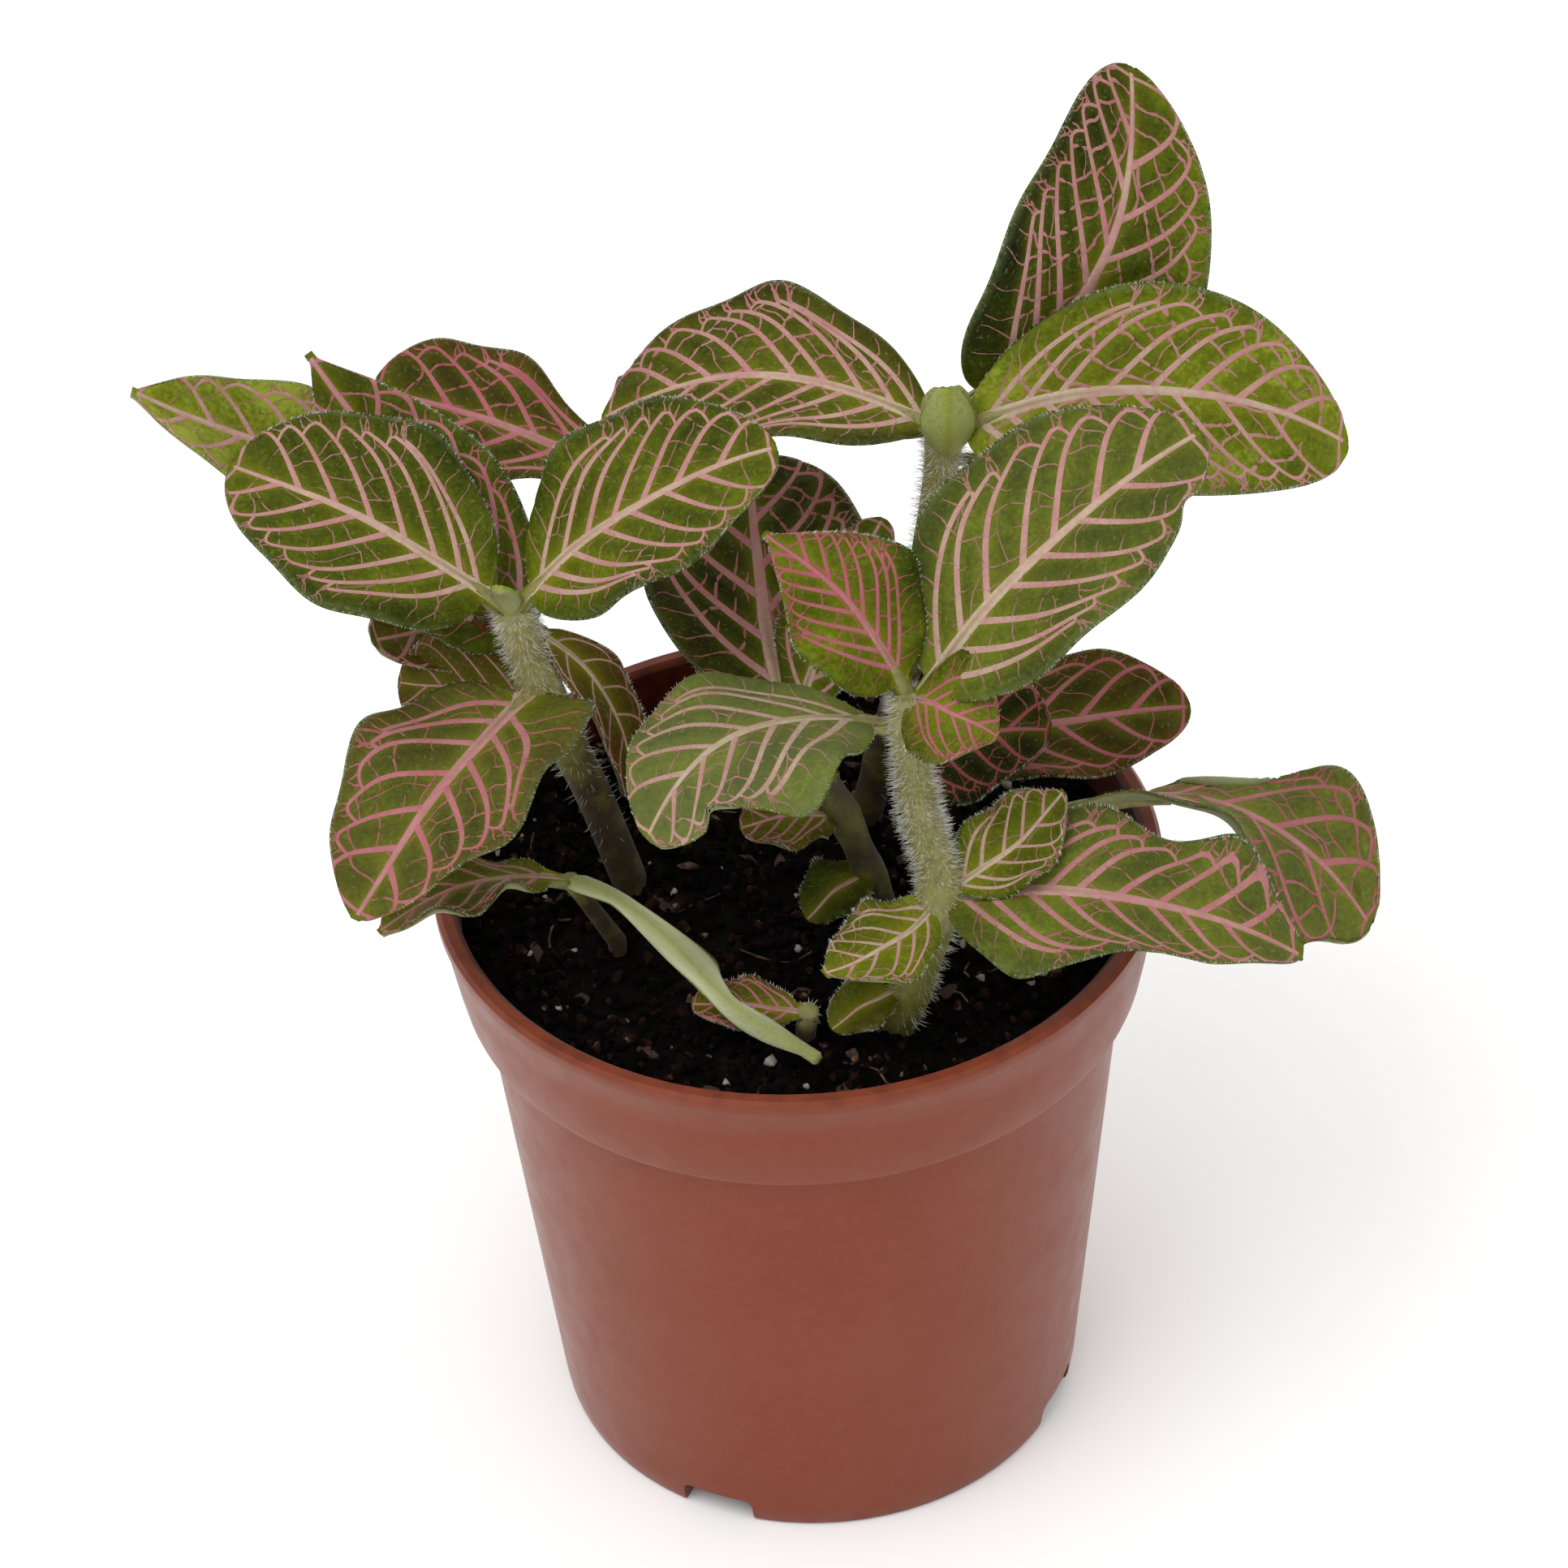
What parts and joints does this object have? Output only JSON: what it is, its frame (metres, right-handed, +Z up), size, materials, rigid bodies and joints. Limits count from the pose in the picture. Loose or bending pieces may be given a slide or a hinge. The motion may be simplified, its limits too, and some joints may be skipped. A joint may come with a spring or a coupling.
{
  "type": "potted nerve plant",
  "caption": "Small leafy nerve plant with pink-veined oval leaves on upright stems, rooted in dark soil in a tapered terracotta-coloured plastic nursery pot.",
  "frame": {"origin": "centre of the pot's flat base", "axes": "+Z up along the pot's axis, -Y towards the plant's front, +X to its right"},
  "size_m": [0.099, 0.068, 0.1191],
  "materials": {
    "pot_plastic": "moulded, soft sheen",
    "soil": "loose moist peat",
    "leaf_green": "quilted, downy, pink veins",
    "leaf_dark": "quilted, downy, magenta veins"
  },
  "bodies": {
    "root": {"pot": "pot_plastic", "soil": "soil", "shoot_left": "leaf_green", "shoot_back_left": "leaf_dark", "shoot_rear": "leaf_dark", "shoot_front": "leaf_green", "shoot_low_left": "leaf_green", "shoot_centre": "leaf_dark", "shoot_tall": "leaf_green", "shoot_right": "leaf_green", "shoot_back_right": "leaf_dark", "shoot_seedling": "leaf_dark"}
  },
  "joints": []
}
